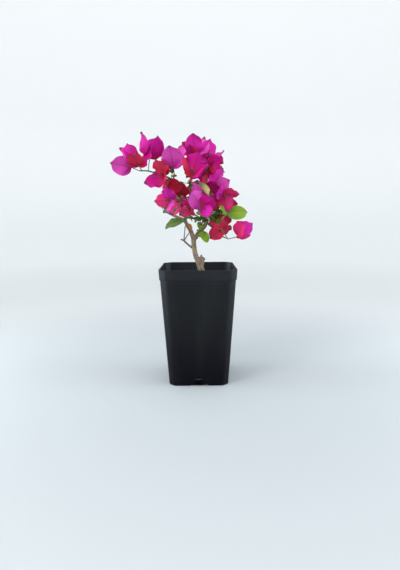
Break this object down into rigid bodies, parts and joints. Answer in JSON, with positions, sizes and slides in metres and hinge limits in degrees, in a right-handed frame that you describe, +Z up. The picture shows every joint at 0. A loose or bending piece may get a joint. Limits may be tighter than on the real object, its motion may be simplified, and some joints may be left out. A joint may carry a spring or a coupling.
{
  "type": "potted bougainvillea",
  "caption": "Small flowering bougainvillea with a short forked trunk, papery magenta bracts and green leaves, in a tall square tapered black plastic nursery pot.",
  "frame": {"origin": "middle of the pot's flat underside", "axes": "+Z up along the pot's axis, +X to the right and -Y towards the viewer in the front view"},
  "size_m": [0.235, 0.1327, 0.4238],
  "materials": {
    "pot_plastic": "satin",
    "potting_mix": "matte",
    "bark": "matte",
    "blossom": "matte",
    "foliage": "satin",
    "twig": "matte"
  },
  "bodies": {
    "root": {"pot": "pot_plastic", "soil": "potting_mix", "trunk": "bark", "bough_right": "bark", "bough_left": "bark", "bough_upper": "bark", "bough_upper_left": "bark", "spray_far_left": "blossom", "spray_left": "blossom", "spray_top_centre": "blossom", "spray_low_left": "blossom", "spray_inner_left": "blossom", "spray_front_top": "blossom", "spray_top": "blossom", "spray_top_right": "blossom", "spray_right": "blossom", "spray_centre": "blossom", "spray_low_right": "blossom", "spray_back_top": "blossom", "spray_back_middle": "blossom", "spray_back_left": "blossom", "spray_back_right": "blossom", "spray_leafy_right": "foliage", "spray_left_leaves": "foliage", "spray_left_tip": "foliage", "spray_fork_leaves": "foliage", "spray_back_low": "foliage", "twig_low_left": "twig"}
  },
  "joints": []
}
